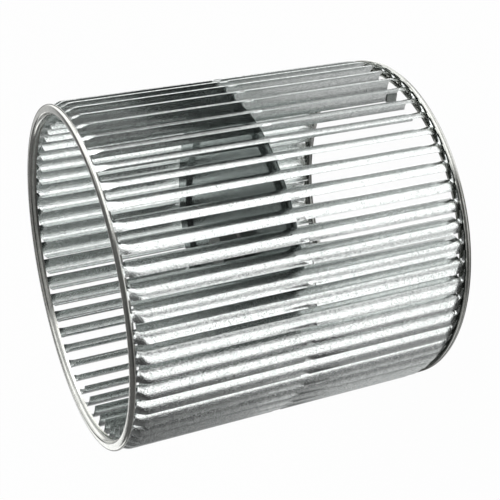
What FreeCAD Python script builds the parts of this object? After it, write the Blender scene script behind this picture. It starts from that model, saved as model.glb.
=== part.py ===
import FreeCAD, Part
import math
import os

# Double-inlet blower wheel with forward-curved blades, standing on its far end ring.
# Millimetres. The wheel axis is Z, z = 0 is under the far ring and the open end is up.

# Whole wheel
tip_radius = 135.0
wheel_width = 271.0

# Blade strip: one pierced sheet, its blades joined by a plain margin at both ends
blade_count = 54
strip_thickness = 0.5
blade_curve_radius = 13.4
blade_tip_angle = 9.0
blade_heel_angle = 108.5
margin_inset = 2.7
margin_far = 5.0
margin_open = 3.2
neck_length = 3.9
fold_count = 4
neck_folds = 2

# End rings
ring_inset = 1.0
ring_thickness = 0.8
ring_face_width = 6.5
ring_corner = 0.7
ring_wall_depth = 6.2
ring_wall_lean = 2.3
skirt_open = 2.8
skirt_far = 5.5

# Centre disc
disc_inset = 10.3
disc_thickness = 0.9
slot_clearance = 0.12
rib_inset = 10.2
rib_width = 14.0
rib_height = 3.0
rib_slope_width = 2.5

# Staking dents in the blade tips at the disc
dent_length = 6.6
dent_depth = 0.7

# Hub
bore_radius = 6.35
hub_radius = 15.0
hub_length = 34.0
hub_flange_radius = 21.0
hub_flange_thickness = 3.0
swage_radius = 18.0
swage_height = 1.6
hub_clearance = 0.1

# Set screw
screw_radius = 3.97
screw_length = 7.5
screw_inset = 7.5
screw_socket_width = 3.97
screw_socket_depth = 4.0
screw_shaft_gap = 0.4

# Balance clip
clip_blade_number = 47
clip_length = 8.5
clip_thickness = 0.7
clip_end_gap = 0.3
clip_clearance = 0.1

# Derived sizes
pitch_angle = 360.0 / blade_count
mid_height = wheel_width / 2.0
ring_radius = tip_radius - ring_inset
margin_radius = ring_radius - margin_inset
disc_radius = tip_radius - disc_inset
rib_outer_radius = disc_radius - rib_inset
rib_inner_radius = rib_outer_radius - rib_width
disc_bottom = mid_height - disc_thickness / 2.0
disc_top = mid_height + disc_thickness / 2.0
half_strip = strip_thickness / 2.0
margin_top = wheel_width - margin_open
blade_bottom = margin_far + neck_length
blade_top = margin_top - neck_length
hub_bottom = mid_height - hub_length / 2.0
hub_top = mid_height + hub_length / 2.0
screw_height = hub_bottom + screw_inset
AXIS = FreeCAD.Vector(0, 0, 1)
ORIGIN = FreeCAD.Vector(0, 0, 0)


def polar(radius, angle, height):
    turn = math.radians(angle)
    return FreeCAD.Vector(radius * math.cos(turn), radius * math.sin(turn), height)


def blade_point(angle, offset, height):
    """Point at an angle round the curve of blade 0, offset from mid-sheet towards its back."""
    tip = polar(blade_curve_radius, blade_tip_angle, 0)
    centre = FreeCAD.Vector(tip_radius - half_strip, 0, 0) - tip
    return centre + polar(blade_curve_radius + offset, angle, height)


def prism(points, length):
    """Block on a closed outline, drawn out along the axis."""
    return Part.Face(Part.makePolygon(points + points[:1])).extrude(FreeCAD.Vector(0, 0, length))


def blade_block(offset, first_fold, bottom, length, extra_angle=0.0):
    """Block that follows the blade from one of its folds to the heel, such as a slot or a clip."""
    angles = [share_angle(number / fold_count) for number in range(first_fold, fold_count + 1)]
    angles[-1] += extra_angle
    back = [blade_point(angle, offset, bottom) for angle in angles]
    hollow = [blade_point(angle, -offset, bottom) for angle in angles]
    return prism(back + hollow[::-1], length)


def share_angle(share):
    """Angle on the blade's curve at a share of its width, 0 at the tip and 1 at the heel."""
    return blade_tip_angle + share * (blade_heel_angle - blade_tip_angle)


def margin_sides(height):
    """Outer and inner points of one blade's stretch of the margin, rolled as two flats."""
    sides = []
    for offset in (half_strip, -half_strip):
        angles = [0.0, pitch_angle / 2.0, pitch_angle]
        sides.append([polar(margin_radius + offset, angle, height) for angle in angles])
    return sides


def blade_sides(height):
    """Back and hollow points of one blade's section, from its tip edge to its heel edge."""
    sides = []
    for offset in (half_strip, -half_strip):
        angles = [share_angle(number / fold_count) for number in range(fold_count + 1)]
        sides.append([blade_point(angle, offset, height) for angle in angles])
    return sides


def triangle(first, second, third):
    return Part.Face(Part.makePolygon([first, second, third, first]))


def facets(low_start, low_end, high_end, high_start):
    """Two flat triangles across a four-sided patch, always folded on the same diagonal."""
    return [triangle(low_start, low_end, high_end), triangle(low_start, high_end, high_start)]


def outline_face(sides):
    outline = sides[0] + sides[1][::-1]
    return Part.Face(Part.makePolygon(outline + outline[:1]))


def blade_body():
    """The blade at its full depth, from one cut end to the other."""
    along = FreeCAD.Vector(0, 0, blade_top - blade_bottom)
    return outline_face(blade_sides(blade_bottom)).extrude(along)


def neck(margin_height, blade_height):
    """Sheet that joins the tip half of a blade to the margin; its cut edge slants to the heel."""
    low = []
    for start, middle, end in margin_sides(margin_height):
        low.append([start, (start + middle) * 0.5, middle, (middle + end) * 0.5])
    high = [side[:neck_folds + 1] for side in blade_sides(blade_height)]
    faces = [outline_face(low), outline_face(high)]
    for side in (0, 1):
        for number in range(neck_folds):
            faces += facets(
                low[side][number], low[side][number + 1], high[side][number + 1], high[side][number]
            )
        faces.append(triangle(low[side][-2], low[side][-1], high[side][-1]))
    faces += facets(low[0][0], low[1][0], high[1][0], high[0][0])
    faces += facets(low[0][-1], low[1][-1], high[1][-1], high[0][-1])
    return Part.makeSolid(Part.makeShell(faces))


def margin(bottom, length):
    return outline_face(margin_sides(bottom)).extrude(FreeCAD.Vector(0, 0, length))


def annulus(inner_radius, outer_radius, bottom, length):
    base = FreeCAD.Vector(0, 0, bottom)
    outer = Part.makeCylinder(outer_radius, length, base)
    return outer.cut(Part.makeCylinder(inner_radius, length, base))


def blade_strip():
    """The whole strip: two rolled margins with the blades formed out of the sheet between them.

    The heel half of each blade is cut free of the margin, and the tip half stays joined by a neck.
    """
    dent_bottom = mid_height - dent_length / 2.0
    dent = annulus(tip_radius - dent_depth, tip_radius + 1.0, dent_bottom, dent_length)
    first = [
        blade_body().cut(dent),
        neck(margin_far, blade_bottom),
        neck(margin_top, blade_top),
        margin(ring_thickness, margin_far - ring_thickness),
        margin(margin_top, margin_open - ring_thickness),
    ]
    pieces = []
    for number in range(blade_count):
        for shape in first:
            piece = shape.copy()
            piece.rotate(ORIGIN, AXIS, number * pitch_angle)
            pieces.append(piece)
    return pieces[0].multiFuse(pieces[1:]).removeSplitter().Solids[0]


def turned(edges):
    """Revolve a closed profile in the XZ plane round the wheel axis."""
    return Part.Face(Part.Wire(edges)).revolve(ORIGIN, AXIS, 360.0)


def polyline(points):
    corners = [FreeCAD.Vector(radius, 0, height) for radius, height in points]
    return Part.makePolygon(corners + corners[:1]).Edges


def ring_path(skirt):
    """Channel section as (radius, depth) points, depth measured from the end plane inwards."""
    wall = ring_radius - ring_face_width
    thick = ring_thickness
    return [
        (ring_radius, skirt),
        (ring_radius, ring_corner),
        (ring_radius - ring_corner, 0.0),
        (wall, 0.0),
        (wall - ring_wall_lean, ring_wall_depth),
        (wall - ring_wall_lean + thick, ring_wall_depth),
        (wall + thick, thick),
        (ring_radius - thick, thick),
        (ring_radius - thick, skirt),
    ]


def end_ring(skirt, height_of):
    """Stamped channel ring; height_of turns a depth below the end plane into a height."""
    return turned(polyline([(radius, height_of(depth)) for radius, depth in ring_path(skirt)]))


def disc_web():
    """Pressed disc before its slots: flat web, raised rib and flat rim."""
    slope = rib_slope_width
    shift = disc_thickness / 2.0
    hole = hub_radius + hub_clearance
    upper = [
        (hole, disc_top),
        (rib_inner_radius - slope, disc_top),
        (rib_inner_radius, disc_top + rib_height),
        (rib_outer_radius, disc_top + rib_height),
        (rib_outer_radius + slope, disc_top),
        (disc_radius, disc_top),
    ]
    lower = [
        (disc_radius, disc_bottom),
        (rib_outer_radius + slope - shift, disc_bottom),
        (rib_outer_radius - shift, disc_bottom + rib_height),
        (rib_inner_radius + shift, disc_bottom + rib_height),
        (rib_inner_radius - slope + shift, disc_bottom),
        (hole, disc_bottom),
    ]
    return turned(polyline(upper + lower))


def centre_disc():
    """Disc with a slot for each blade, open at the rim; each blade's heel seats in its slot."""
    offset = half_strip + slot_clearance
    bottom = disc_bottom - disc_thickness
    length = 3.0 * disc_thickness
    first = blade_block(offset, 0, bottom, length)
    slots = []
    for number in range(blade_count):
        slot = first.copy()
        slot.rotate(ORIGIN, AXIS, number * pitch_angle)
        slots.append(slot)
    return disc_web().cut(slots).Solids[0]


def hub():
    """Turned hub with a flange under the disc, a swaged collar over it and a cross hole."""
    profile = [
        (bore_radius, hub_bottom),
        (hub_radius, hub_bottom),
        (hub_radius, disc_bottom - hub_flange_thickness),
        (hub_flange_radius, disc_bottom - hub_flange_thickness),
        (hub_flange_radius, disc_bottom),
        (hub_radius, disc_bottom),
        (hub_radius, disc_top),
        (swage_radius, disc_top),
        (hub_radius, disc_top + swage_height),
        (hub_radius, hub_top),
        (bore_radius, hub_top),
    ]
    hole_base = FreeCAD.Vector(0, 0, screw_height)
    hole = Part.makeCylinder(screw_radius, hub_radius + 1.0, hole_base, FreeCAD.Vector(1, 0, 0))
    return turned(polyline(profile)).cut(hole)


def set_screw():
    """Socket set screw in the hub's side, its flat point just short of the shaft."""
    start = FreeCAD.Vector(bore_radius + screw_shaft_gap, 0, screw_height)
    body = Part.makeCylinder(screw_radius, screw_length, start, FreeCAD.Vector(1, 0, 0))
    corner_radius = screw_socket_width / math.sqrt(3.0)
    floor = start.x + screw_length - screw_socket_depth
    corners = []
    for number in range(7):
        turn = math.radians(60.0 * number)
        side = corner_radius * math.cos(turn)
        rise = corner_radius * math.sin(turn)
        corners.append(FreeCAD.Vector(floor, side, start.z + rise))
    socket = Part.Face(Part.makePolygon(corners)).extrude(FreeCAD.Vector(screw_socket_depth, 0, 0))
    return body.cut(socket)


def balance_clip():
    """Folded clip on the last fold of one blade, its bend seated on the heel edge."""
    gap = half_strip + clip_clearance
    bend_angle = math.degrees(clip_thickness / blade_curve_radius)
    first_fold = fold_count - 1
    bottom = blade_bottom + clip_end_gap
    body = blade_block(gap + clip_thickness, first_fold, bottom, clip_length, bend_angle)
    clip = body.cut(blade_block(gap, first_fold, bottom, clip_length))
    clip.rotate(ORIGIN, AXIS, clip_blade_number * pitch_angle)
    return clip.Solids[0]


def export(name, shape):
    shape.exportStep(os.path.join("parts", name + ".step"))


os.makedirs("parts", exist_ok=True)
export("blade_strip", blade_strip())
export("end_ring_open", end_ring(skirt_open, lambda depth: wheel_width - depth))
export("end_ring_far", end_ring(skirt_far, lambda depth: depth))
export("centre_disc", centre_disc())
export("hub", hub())
export("set_screw", set_screw())
export("balance_clip", balance_clip())
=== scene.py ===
import math

import bpy
from mathutils import Matrix, Vector


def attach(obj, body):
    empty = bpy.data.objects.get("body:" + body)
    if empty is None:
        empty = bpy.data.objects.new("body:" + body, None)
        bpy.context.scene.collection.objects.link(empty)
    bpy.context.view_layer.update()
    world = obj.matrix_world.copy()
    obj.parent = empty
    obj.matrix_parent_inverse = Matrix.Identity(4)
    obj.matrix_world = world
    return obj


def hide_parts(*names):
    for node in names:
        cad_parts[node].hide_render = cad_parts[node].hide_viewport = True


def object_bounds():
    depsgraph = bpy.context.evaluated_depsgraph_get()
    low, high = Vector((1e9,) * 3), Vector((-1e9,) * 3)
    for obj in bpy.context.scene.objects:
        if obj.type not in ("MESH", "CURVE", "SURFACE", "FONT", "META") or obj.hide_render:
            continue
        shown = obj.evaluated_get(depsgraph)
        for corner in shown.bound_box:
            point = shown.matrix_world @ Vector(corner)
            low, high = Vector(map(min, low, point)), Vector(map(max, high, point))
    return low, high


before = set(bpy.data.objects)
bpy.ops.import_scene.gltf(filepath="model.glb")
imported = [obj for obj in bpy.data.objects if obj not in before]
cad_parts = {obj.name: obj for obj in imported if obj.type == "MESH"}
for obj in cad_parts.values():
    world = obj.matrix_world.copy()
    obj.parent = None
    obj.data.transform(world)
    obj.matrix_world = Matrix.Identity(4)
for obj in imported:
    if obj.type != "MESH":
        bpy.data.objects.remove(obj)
cad_low, cad_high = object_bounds()


# Blade strip. One galvanised steel sheet, pierced and pressed into curved blades, then rolled
# into a drum. The heel half of each blade is cut free at both ends and the tip half runs through
# a neck into the plain margin, which the end rings hold. The tips are staked at the disc.
BLADE_COUNT = 54
TIP_RADIUS = 0.135
WHEEL_WIDTH = cad_high.z - cad_low.z
SHEET = 0.0005
CURVE_RADIUS = 0.0134
TIP_ANGLE = math.radians(9.0)
HEEL_ANGLE = math.radians(108.5)
MARGIN_RADIUS = 0.1313
RING_SHEET = 0.0008
MARGINS = {"far": 0.0050, "open": 0.0032}
HEEL_NECK = 0.0039
HEEL_SLANTS = {"far": 0.0, "open": 0.0022}
SLANT_LENGTH = 0.0141
TIP_NECK = 0.0105
NECK_STEPS = (0.0, 0.03, 0.12, 0.22, 0.36, 0.55, 0.80, 0.86, 1.0)
SLIT_RELIEF = 0.055
RELIEF_SPAN = (0.01, 0.83)
END_STEPS = (0, 0.0012, 0.0028, 0.0048, 0.0072, 0.0102, SLANT_LENGTH)
DENT_HALF = 0.0033
DENT_DEPTH = 0.0009
ACROSS = 14
PITCH = math.tau / BLADE_COUNT


def linear(hex_colour):
    """sRGB hex to the linear colour that a shader takes."""
    channels = [int(hex_colour[i:i + 2], 16) / 255 for i in (1, 3, 5)]
    return [c / 12.92 if c <= 0.04045 else ((c + 0.055) / 1.055) ** 2.4 for c in channels] + [1.0]


def add_node(tree, kind, settings=None, inputs=None):
    """Adds a node; an input's value may be a plain value or another node's output socket."""
    node = tree.nodes.new(kind)
    for name, value in (settings or {}).items():
        setattr(node, name, value)
    for name, value in (inputs or {}).items():
        if isinstance(value, bpy.types.NodeSocket):
            tree.links.new(value, node.inputs[name])
        else:
            node.inputs[name].default_value = value
    return node


def galvanised_steel(name, dark, pale, spangle_mm=3.0, grain_mm=0.7, roughness=(0.12, 0.18),
                     relief=0.00005, fleck=0.73):
    """Hot-dip galvanised sheet. Zinc crystals, the spangle, turn each patch a little lighter or
    darker, and a finer grain runs over them. Shallow pits break up the highlights' edges, and
    specks of dross darken the sheet to the share called fleck. Grain, pits and specks are drawn
    about twice as coarse as they are, so that they show."""
    material = bpy.data.materials.new(name)
    material.use_nodes = True
    tree = material.node_tree
    tree.nodes.clear()
    place = add_node(tree, "ShaderNodeTexCoord").outputs["Object"]
    spangle = add_node(tree, "ShaderNodeTexVoronoi", {"feature": "F1"},
                       {"Vector": place, "Scale": 1000 / spangle_mm, "Randomness": 1.0})
    grain = add_node(tree, "ShaderNodeTexNoise", {},
                     {"Vector": place, "Scale": 1000 / grain_mm, "Detail": 0.0})
    cell = add_node(tree, "ShaderNodeSeparateColor", {}, {"Color": spangle.outputs["Color"]})
    spangle_part = 0.3
    grain_part = add_node(tree, "ShaderNodeMath", {"operation": "MULTIPLY"},
                          {0: grain.outputs["Fac"], 1: 1 - spangle_part})
    total = add_node(tree, "ShaderNodeMath", {"operation": "MULTIPLY_ADD"},
                     {0: cell.outputs["Red"], 1: spangle_part, 2: grain_part.outputs[0]})
    colour = add_node(tree, "ShaderNodeMix", {"data_type": "RGBA"}, {"Factor": total.outputs[0]})
    colour.inputs["A"].default_value = linear(dark)
    colour.inputs["B"].default_value = linear(pale)
    rough = add_node(tree, "ShaderNodeMapRange", {},
                     {"Value": total.outputs[0], "To Min": roughness[0], "To Max": roughness[1]})
    pits = add_node(tree, "ShaderNodeTexNoise", {},
                    {"Vector": place, "Scale": 1000 / (grain_mm * 1.3), "Detail": 1.0})
    pitted = add_node(tree, "ShaderNodeMapRange", {"interpolation_type": "SMOOTHSTEP"},
                      {"Value": pits.outputs["Fac"], "From Min": 0.36, "From Max": 0.52,
                       "To Min": 0.0, "To Max": 1.0})
    bump = add_node(tree, "ShaderNodeBump", {},
                    {"Height": pitted.outputs["Result"], "Strength": 1.0, "Distance": relief})
    dross = add_node(tree, "ShaderNodeTexNoise", {},
                     {"Vector": place, "Scale": 1000 / (grain_mm * 1.1), "Detail": 0.0})
    flecks = add_node(tree, "ShaderNodeMapRange", {"interpolation_type": "SMOOTHSTEP"},
                      {"Value": dross.outputs["Fac"], "From Min": 0.33, "From Max": 0.45,
                       "To Min": fleck, "To Max": 1.0})
    flecked = add_node(tree, "ShaderNodeMix", {"data_type": "RGBA", "blend_type": "MULTIPLY"},
                       {"Factor": 1.0})
    tree.links.new(colour.outputs["Result"], flecked.inputs["A"])
    tree.links.new(flecks.outputs["Result"], flecked.inputs["B"])
    shader = add_node(tree, "ShaderNodeBsdfPrincipled", {},
                      {"Metallic": 1.0, "Roughness": rough.outputs["Result"],
                       "Base Color": flecked.outputs["Result"], "Normal": bump.outputs["Normal"]})
    add_node(tree, "ShaderNodeOutputMaterial", {}, {"Surface": shader.outputs["BSDF"]})
    return material


def polar(radius, angle, height):
    return Vector((radius * math.cos(angle), radius * math.sin(angle), height))


def ease(value):
    value = min(1.0, max(0.0, value))
    return value * value * (3 - 2 * value)


def blade_place(share, lift, end):
    """Mid-sheet point at a share of the blade's width, 0 at the tip and 1 at the heel, and at a
    distance in from the margin of one end. The heel half's cut edge may slant."""
    depth = MARGINS[end] + lift
    if lift >= HEEL_NECK:
        slant = max(0.0, share * 2 - 1) * max(0.0, 1 - (lift - HEEL_NECK) / SLANT_LENGTH)
        depth += HEEL_SLANTS[end] * slant
    height = WHEEL_WIDTH - depth if end == "open" else depth
    neck = TIP_NECK + min(1.0, share * 2) * (HEEL_NECK - TIP_NECK)
    weight = ease(lift / neck)
    margin = polar(MARGIN_RADIUS, share * PITCH, height)
    angle = TIP_ANGLE + share * (HEEL_ANGLE - TIP_ANGLE)
    centre = Vector((TIP_RADIUS - SHEET / 2, 0, 0)) - polar(CURVE_RADIUS, TIP_ANGLE, 0)
    point = margin.lerp(centre + polar(CURVE_RADIUS, angle, height), weight)
    if abs(height - WHEEL_WIDTH / 2) < DENT_HALF:
        point.x -= DENT_DEPTH * max(0.0, 1 - share * ACROSS / 2)
    return point


def joined_rows(points, faces, rows, closed=False):
    """Adds a grid of rows to lists of points and faces."""
    width = len(rows[0])
    first = len(points)
    for row in rows:
        points.extend(row)
    for number in range(len(rows) if closed else len(rows) - 1):
        low = first + number * width
        high = first + (number + 1) % len(rows) * width
        for column in range(width - 1):
            faces.append((low + column, low + column + 1, high + column + 1, high + column))


def neck_rows(end):
    """Margin and neck of one blade. The neck's cut edge sweeps in from the next blade's slit,
    and a small relief is pierced at its own slit's end."""
    places = [(RING_SHEET - MARGINS[end], 0.0)] + [(step * HEEL_NECK, step) for step in NECK_STEPS]
    columns = [2 * column / ACROSS for column in range(ACROSS // 2 + 1)]
    rows = []
    for lift, step in places:
        last = 0.5 + 0.5 * (1 - step) ** 3
        first = SLIT_RELIEF if RELIEF_SPAN[0] < step < RELIEF_SPAN[1] else 0.0
        shares = [first + (last - first) * column for column in columns]
        rows.append([blade_place(share, lift, end) for share in shares])
    return rows


def blade_rows():
    """Rows along the blade: close together at its ends and at the stake, wide between."""
    shares = [column / ACROSS for column in range(ACROSS + 1)]
    halves = []
    for end in ("far", "open"):
        stake = WHEEL_WIDTH / 2 - MARGINS[end] - DENT_HALF
        lifts = [HEEL_NECK + step for step in END_STEPS]
        lifts += [stake * 0.45, stake * 0.75, stake - 0.0004, stake + 0.0002]
        halves.append([[blade_place(share, lift, end) for share in shares] for lift in lifts])
    return halves[0] + halves[1][::-1]


def bare_object(name, points, faces):
    mesh = bpy.data.meshes.new(name)
    mesh.from_pydata(points, [], faces)
    mesh.shade_smooth()
    piece = bpy.data.objects.new(name, mesh)
    bpy.context.collection.objects.link(piece)
    return piece


def thicken(piece, thickness):
    """Gives a mid-sheet surface the thickness of its sheet."""
    wall = piece.modifiers.new("wall", "SOLIDIFY")
    wall.thickness = thickness
    wall.offset = 0.0
    wall.use_even_offset = True


def plain_mesh(piece, name):
    """Applies what the modifiers make and leaves one plain object at the origin."""
    bpy.context.view_layer.update()
    evaluated = piece.evaluated_get(bpy.context.evaluated_depsgraph_get())
    mesh = bpy.data.meshes.new_from_object(evaluated)
    mesh.name = name
    mesh.shade_smooth()
    mesh.set_sharp_from_angle(angle=math.radians(42))
    made = bpy.data.objects.new(name, mesh)
    bpy.context.collection.objects.link(made)
    bpy.data.objects.remove(piece)
    return made


def round_the_wheel(source, name, count, thickness, material):
    """Geometry Nodes: copies of one object, turned round the wheel's axis and joined where they
    meet, then given their sheet's thickness."""
    tree = bpy.data.node_groups.new(name, "GeometryNodeTree")
    tree.interface.new_socket("Geometry", in_out="OUTPUT", socket_type="NodeSocketGeometry")
    counted = tree.interface.new_socket("Count", in_out="INPUT", socket_type="NodeSocketInt")
    entry = add_node(tree, "NodeGroupInput")
    points = add_node(tree, "GeometryNodePoints", {}, {"Count": entry.outputs["Count"]})
    one = add_node(tree, "GeometryNodeObjectInfo", {}, {"Object": source})
    number = add_node(tree, "GeometryNodeInputIndex")
    share = add_node(tree, "ShaderNodeMath", {"operation": "DIVIDE"},
                     {0: number.outputs[0], 1: entry.outputs["Count"]})
    angle = add_node(tree, "ShaderNodeMath", {"operation": "MULTIPLY"},
                     {0: share.outputs[0], 1: math.tau})
    turn = add_node(tree, "ShaderNodeCombineXYZ", {}, {"Z": angle.outputs[0]})
    copies = add_node(tree, "GeometryNodeInstanceOnPoints", {},
                      {"Points": points.outputs[0], "Instance": one.outputs["Geometry"],
                       "Rotation": turn.outputs[0]})
    real = add_node(tree, "GeometryNodeRealizeInstances", {}, {"Geometry": copies.outputs[0]})
    joined = add_node(tree, "GeometryNodeMergeByDistance", {},
                      {"Geometry": real.outputs[0], "Distance": 0.00002})
    finish = add_node(tree, "GeometryNodeSetMaterial", {},
                      {"Geometry": joined.outputs[0], "Material": material})
    add_node(tree, "NodeGroupOutput", {}, {"Geometry": finish.outputs[0]})
    carrier = bpy.data.objects.new(name + "_repeat", bpy.data.meshes.new(name + "_repeat"))
    bpy.context.collection.objects.link(carrier)
    modifier = carrier.modifiers.new("repeat", "NODES")
    modifier.node_group = tree
    modifier[counted.identifier] = count
    thicken(carrier, thickness)
    return plain_mesh(carrier, name)


blade_steel = galvanised_steel("galvanised_blade_sheet", "#D3D9D7", "#FAFCFB")
sheet_points, sheet_faces = [], []
joined_rows(sheet_points, sheet_faces, neck_rows("far"))
joined_rows(sheet_points, sheet_faces, blade_rows())
joined_rows(sheet_points, sheet_faces, neck_rows("open")[::-1])
one_blade = bare_object("one_blade", sheet_points, sheet_faces)
blade_strip = round_the_wheel(one_blade, "drum_blades", BLADE_COUNT, SHEET, blade_steel)
bpy.data.objects.remove(one_blade)
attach(blade_strip, "root")
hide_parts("blade_strip")


# End rings. Each is stamped from galvanised sheet as a shallow channel with a rolled outer corner
# and is pressed over the strip's margin. Its inner wall leans in towards the axis and has a ridge
# pressed round it. The far ring has the deeper skirt, which steps in behind a bead and flares.
RING_RADIUS = 0.134
RING_FACE = 0.0067
FACE_FALL = 0.00035
RING_WALL_DEPTH = 0.0062
RING_WALL_LEAN = 0.0023
SKIRTS = {"open": 0.0028, "far": 0.0055}
SKIRT_FLARE = 0.16
BEAD_DEPTH = 0.0029
BEAD_STEP = 0.0003
RIDGE_DEPTH = 0.0031
RIDGE_RISE = 0.00035
RIDGE_HALF = 0.0008
RIDGE_FORM = ((-1.0, 0.0), (-0.45, 0.55), (0.0, 1.0), (0.45, 0.55), (1.0, 0.0))
CORNER_RADII = {"open": 0.0020, "far": 0.0017}
WALL_CORNER_RADIUS = 0.0011
CORNER_STEPS = 6
RING_TURNS = 288


def rounded(start, corner, end, radius):
    """Points of a rolled corner between two straight runs of the channel's section."""
    first = corner + (start - corner).normalized() * radius
    last = corner + (end - corner).normalized() * radius
    steps = [step / CORNER_STEPS for step in range(CORNER_STEPS + 1)]
    return [first.lerp(corner, s).lerp(corner.lerp(last, s), s) for s in steps]


def ring_section(skirt, corner_radius):
    """Mid-sheet line of the channel as (radius, depth), from the skirt's edge, over the bead
    and the face, to the inner wall's edge."""
    half = RING_SHEET / 2
    outer = RING_RADIUS - half
    wall = RING_RADIUS - RING_FACE + half
    skirt_line = outer - BEAD_STEP
    bead_foot = Vector((skirt_line, BEAD_DEPTH + BEAD_STEP))
    bead_top = Vector((outer, min(BEAD_DEPTH, skirt)))
    outer_corner = Vector((outer, half + FACE_FALL))
    wall_corner = Vector((wall, half))
    wall_edge = Vector((wall - RING_WALL_LEAN, RING_WALL_DEPTH))
    skirt_edge = Vector((skirt_line + SKIRT_FLARE * (skirt - bead_foot.y), skirt))
    line = [skirt_edge, bead_foot, bead_top] if skirt > bead_foot.y else [bead_top]
    line += rounded(bead_top, outer_corner, wall_corner, corner_radius)
    line += rounded(outer_corner, wall_corner, wall_edge, WALL_CORNER_RADIUS)
    down = (wall_edge - wall_corner).normalized()
    inward = Vector((-down.y, down.x))
    ridge = wall_corner + down * RIDGE_DEPTH
    for along, rise in RIDGE_FORM:
        line.append(ridge + down * along * RIDGE_HALF + inward * rise * RIDGE_RISE)
    return line + [wall_edge]


def paint_edge_highlights(material, lines):
    """Painted highlights: dull pale lines along the rolled edges, which stand in for the
    edges' highlights. Each line is given by its radius and half its width."""
    tree = material.node_tree
    shader = next(node for node in tree.nodes if node.type == "BSDF_PRINCIPLED")
    place = add_node(tree, "ShaderNodeTexCoord").outputs["Object"]
    flat = add_node(tree, "ShaderNodeVectorMath", {"operation": "MULTIPLY"},
                    {0: place, 1: (1, 1, 0)})
    reach = add_node(tree, "ShaderNodeVectorMath", {"operation": "LENGTH"}, {0: flat.outputs[0]})
    painted_highlight_lines = 0.0
    for radius, half_width in lines:
        line = add_node(tree, "ShaderNodeMath", {"operation": "COMPARE"},
                        {0: reach.outputs["Value"], 1: radius, 2: half_width})
        painted_highlight_lines = add_node(tree, "ShaderNodeMath", {"operation": "MAXIMUM"},
                          {0: line.outputs[0], 1: painted_highlight_lines}).outputs[0]
    # Metallic falls from 1 to 0.2 on the lines, so that they render pale: painted highlights.
    metal = add_node(tree, "ShaderNodeMath", {"operation": "MULTIPLY_ADD"},
                     {0: painted_highlight_lines, 1: -0.8, 2: 1.0})
    tree.links.new(metal.outputs[0], shader.inputs["Metallic"])


ring_steel = galvanised_steel("galvanised_ring_sheet", "#C6C8C4", "#F3F3EC",
                              roughness=(0.05, 0.09), relief=0.00001, fleck=0.85)
wall_top = RING_RADIUS - RING_FACE
# Painted highlights: a pale line along the ring's outer edge and two near the top of its inner
# wall.
paint_edge_highlights(ring_steel, ((RING_RADIUS, 0.00005), (wall_top - 0.0001, 0.0003),
                       (wall_top - 0.0013, 0.0003)))
for end_name, skirt in SKIRTS.items():
    rows = []
    for number in range(RING_TURNS):
        turn = math.tau * number / RING_TURNS
        row = []
        for place in ring_section(skirt, CORNER_RADII[end_name]):
            height = WHEEL_WIDTH - place.y if end_name == "open" else place.y
            row.append(polar(place.x, turn, height))
        rows.append(row)
    ring_points, ring_faces = [], []
    joined_rows(ring_points, ring_faces, rows, closed=True)
    ring_sheet = bare_object("ring_sheet", ring_points, ring_faces)
    thicken(ring_sheet, RING_SHEET)
    ring = plain_mesh(ring_sheet, "ring_" + end_name)
    ring.data.materials.append(ring_steel)
    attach(ring, "root")
    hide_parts("end_ring_" + end_name)


# Centre disc. Pressed from galvanised sheet with a raised stiffening rib, and slotted at
# its rim, so that each blade's heel seats in a slot. Its shape is the frame's own. Its colour
# is darkened well below the blades' as painted shade, for the shade it sits in inside the drum.
disc_steel_painted_shade = galvanised_steel("disc_sheet_painted_shade", "#5E6463", "#868E8C", 4.0, 1.2)
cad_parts["centre_disc"].data.materials.clear()
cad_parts["centre_disc"].data.materials.append(disc_steel_painted_shade)


# Hub, set screw and balance clip. The hub is turned steel, swaged into the disc; the screw has
# a black oxide finish; the clip is spring steel with a pale zinc plating, pushed over one blade's
# heel edge.
hub_steel = galvanised_steel("turned_hub_steel", "#6E706E", "#9A9C9A", 6.0, 0.5, (0.3, 0.42))
screw_steel = galvanised_steel("black_oxide_screw", "#1B1C1E", "#2C2D30", 6.0, 0.5, (0.4, 0.5))
clip_steel = galvanised_steel("zinc_plated_clip_steel", "#D8DEDA", "#F2F5F3", 5.0, 0.5,
                              (0.45, 0.55))
plating = next(node for node in clip_steel.node_tree.nodes if node.type == "BSDF_PRINCIPLED")
plating.inputs["Metallic"].default_value = 0.4
small_pieces = {"hub": hub_steel, "set_screw": screw_steel, "balance_clip": clip_steel}
for node_name, metal in small_pieces.items():
    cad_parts[node_name].data.materials.clear()
    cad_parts[node_name].data.materials.append(metal)


# Studio. A pale matt floor under the far ring, white to the camera and left out of reflections.
# The world is white to the camera, and to the metal it is a room with a softbox or a card in each
# direction that the photograph's reflections show one. Two weak lamps add a little shape.
FLOOR_HALF = 3.0
FLOOR_DROP = 0.0002
floor_mesh = bpy.data.meshes.new("floor")
corners = [(-FLOOR_HALF, -FLOOR_HALF), (FLOOR_HALF, -FLOOR_HALF),
           (FLOOR_HALF, FLOOR_HALF), (-FLOOR_HALF, FLOOR_HALF)]
floor_mesh.from_pydata([(x, y, -FLOOR_DROP) for x, y in corners], [], [(0, 1, 2, 3)])
floor = bpy.data.objects.new("floor", floor_mesh)
bpy.context.collection.objects.link(floor)
floor_paint = bpy.data.materials.new("studio_floor")
floor_paint.use_nodes = True
floor_tree = floor_paint.node_tree
floor_tree.nodes.clear()
path = add_node(floor_tree, "ShaderNodeLightPath")
white = add_node(floor_tree, "ShaderNodeEmission", {}, {"Color": linear("#FFFFFF")})
matt = add_node(floor_tree, "ShaderNodeBsdfDiffuse", {}, {"Color": linear("#F4F4F4")})
seen = add_node(floor_tree, "ShaderNodeMath", {"operation": "MULTIPLY"},
                {0: path.outputs["Is Camera Ray"], 1: 0.98})
look = add_node(floor_tree, "ShaderNodeMixShader", {},
                {0: seen.outputs[0], 1: matt.outputs[0], 2: white.outputs[0]})
add_node(floor_tree, "ShaderNodeOutputMaterial", {}, {"Surface": look.outputs[0]})
floor_mesh.materials.append(floor_paint)
floor.visible_glossy = False

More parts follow.
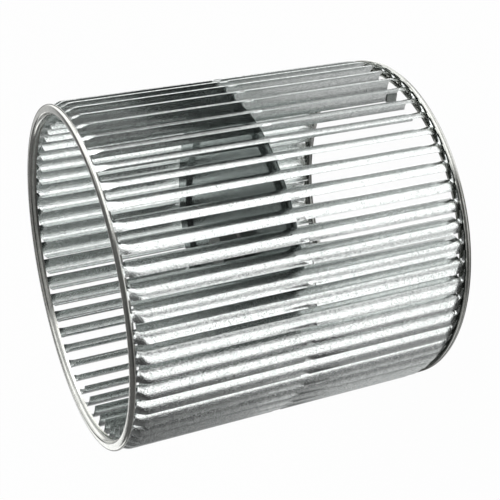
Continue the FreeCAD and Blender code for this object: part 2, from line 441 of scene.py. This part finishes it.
world = bpy.data.worlds.new("studio")
bpy.context.scene.world = world
world.use_nodes = True
sky = world.node_tree
sky.nodes.clear()
sky_path = add_node(sky, "ShaderNodeLightPath")
direction = add_node(sky, "ShaderNodeTexCoord").outputs["Generated"]
axes = add_node(sky, "ShaderNodeSeparateXYZ", {}, {"Vector": direction})
heading = add_node(sky, "ShaderNodeMath", {"operation": "ARCTAN2"},
                   {0: axes.outputs["Y"], 1: axes.outputs["X"]})


def window(centre, half, feather, level):
    """One softbox as seen from the wheel: a soft-edged stretch of directions about its axis,
    in degrees from the top of the picture, the camera being at -90."""
    turned = add_node(sky, "ShaderNodeMath", {"operation": "SUBTRACT"},
                      {0: heading.outputs[0], 1: math.radians(centre)})
    wrapped = add_node(sky, "ShaderNodeMath", {"operation": "WRAP"},
                       {0: turned.outputs[0], 1: math.pi, 2: -math.pi})
    away = add_node(sky, "ShaderNodeMath", {"operation": "ABSOLUTE"}, {0: wrapped.outputs[0]})
    edge = add_node(sky, "ShaderNodeMapRange", {"interpolation_type": "SMOOTHSTEP"},
                    {"Value": away.outputs[0], "From Min": math.radians(half - feather),
                     "From Max": math.radians(half + feather), "To Min": level, "To Max": 0.0})
    return edge.outputs["Result"]


def by_height(low, high, at_low, at_high):
    """A level that changes with how steeply a direction runs up the wheel's axis, from -1 for
    straight down to 1 for straight up."""
    shade = add_node(sky, "ShaderNodeMapRange", {"interpolation_type": "SMOOTHSTEP"},
                     {"Value": axes.outputs["Z"], "From Min": low, "From Max": high,
                      "To Min": at_low, "To Max": at_high})
    return shade.outputs["Result"]


def combine(operation, first, *others):
    """Joins two or more levels, two at a time."""
    for other in others:
        pair = add_node(sky, "ShaderNodeMath", {"operation": operation}, {0: first, 1: other})
        first = pair.outputs[0]
    return first


# Softboxes, with their levels above 1 because the photograph's highlights are clipped to white.
front_box = combine("MULTIPLY", window(-103.5, 22.5, 9, 1.55),
                    by_height(-0.70, -0.58, 0.04, 1.0), by_height(-0.05, 0.25, 1.0, 0.03))
over_box = combine("MULTIPLY", window(-24, 39.5, 14, 1.5), by_height(0.5, 0.97, 1.0, 0.15))
high_box = combine("MULTIPLY", window(38, 30, 12, 1.45),
                   by_height(-0.05, 0.1, 0.0, 1.0), by_height(0.7, 0.9, 1.0, 0.1))
back_box = combine("MULTIPLY", window(72, 27, 8, 1.55),
                   by_height(-0.3, -0.05, 1.0, 0.0), by_height(-0.58, -0.53, 0.04, 1.0))
low_box = combine("MULTIPLY", window(45, 25, 8, 1.3),
                  by_height(-0.56, -0.50, 1.0, 0.0), by_height(-0.72, -0.62, 0.05, 1.0))

# White cards that the disc and the blades' inner faces show.
backdrop_side = combine("MULTIPLY", window(100, 36, 20, 1.0),
                        by_height(-0.12, 0.0, 0.6, 0.2), by_height(0.05, 0.25, 1.0, 0.25))
bright_card = combine("MAXIMUM", window(110, 24, 8, 1.3), window(66, 26, 8, 0.6))
face_card = combine("MULTIPLY", bright_card,
                    by_height(0.06, 0.16, 0.0, 1.0), by_height(0.24, 0.32, 1.0, 0.04))

# The room itself: pale low down, dim from the wheel's middle up, and dark straight below it and
# in the direction of its underside in the photograph.
underside = combine("SUBTRACT", 1.0, window(-148, 20, 12, 0.5))
room = combine("MULTIPLY", by_height(-0.5, -0.2, 0.62, 0.12), underside,
               by_height(-0.78, -0.6, 0.1, 1.0))

level = combine("MAXIMUM", front_box, over_box, high_box, back_box, low_box,
                backdrop_side, face_card, room)
around = add_node(sky, "ShaderNodeBackground", {}, {"Color": linear("#FFFFFF"), "Strength": level})
backdrop = add_node(sky, "ShaderNodeBackground", {}, {"Color": linear("#FFFFFF"), "Strength": 1.0})
air = add_node(sky, "ShaderNodeMixShader", {},
               {0: sky_path.outputs["Is Camera Ray"], 1: around.outputs[0],
                2: backdrop.outputs[0]})
add_node(sky, "ShaderNodeOutputWorld", {}, {"Surface": air.outputs[0]})


def soft_lamp(name, place, size, watts):
    """Square lamp that points at the middle of the wheel."""
    lamp = bpy.data.lights.new(name, "AREA")
    lamp.size = size
    lamp.energy = watts
    holder = bpy.data.objects.new(name, lamp)
    bpy.context.collection.objects.link(holder)
    holder.location = place
    aim = Vector((0, 0, WHEEL_WIDTH / 2)) - Vector(place)
    holder.rotation_euler = aim.to_track_quat("-Z", "Y").to_euler()


LAMP_SIZE = 0.9
soft_lamp("front_lamp", (0.3, -1.5, 0.6), LAMP_SIZE, 0.4)
soft_lamp("top_lamp", (1.3, -0.3, 0.5), LAMP_SIZE, 2.0)


# Camera, at the photograph's place and roll: the wheel's axis runs across the picture. Its lens
# and place were fitted to the wheel's lines in the photograph.
CAMERA_PLACE = Vector((-0.00753, -0.84538, 0.46314))
CAMERA_RIGHT = Vector((-0.19895, -0.36444, -0.90970))
CAMERA_UP = Vector((0.97995, -0.07693, -0.18350))
camera_data = bpy.data.cameras.new("camera")
camera_data.sensor_width = 36.0
camera_data.lens = 80.74
camera_data.clip_start = 0.01
camera = bpy.data.objects.new("camera", camera_data)
bpy.context.collection.objects.link(camera)
turned = Matrix((CAMERA_RIGHT, CAMERA_UP, CAMERA_RIGHT.cross(CAMERA_UP))).transposed()
camera.matrix_world = Matrix.Translation(CAMERA_PLACE) @ turned.to_4x4()
bpy.context.scene.camera = camera
bpy.context.scene.view_settings.view_transform = "Standard"
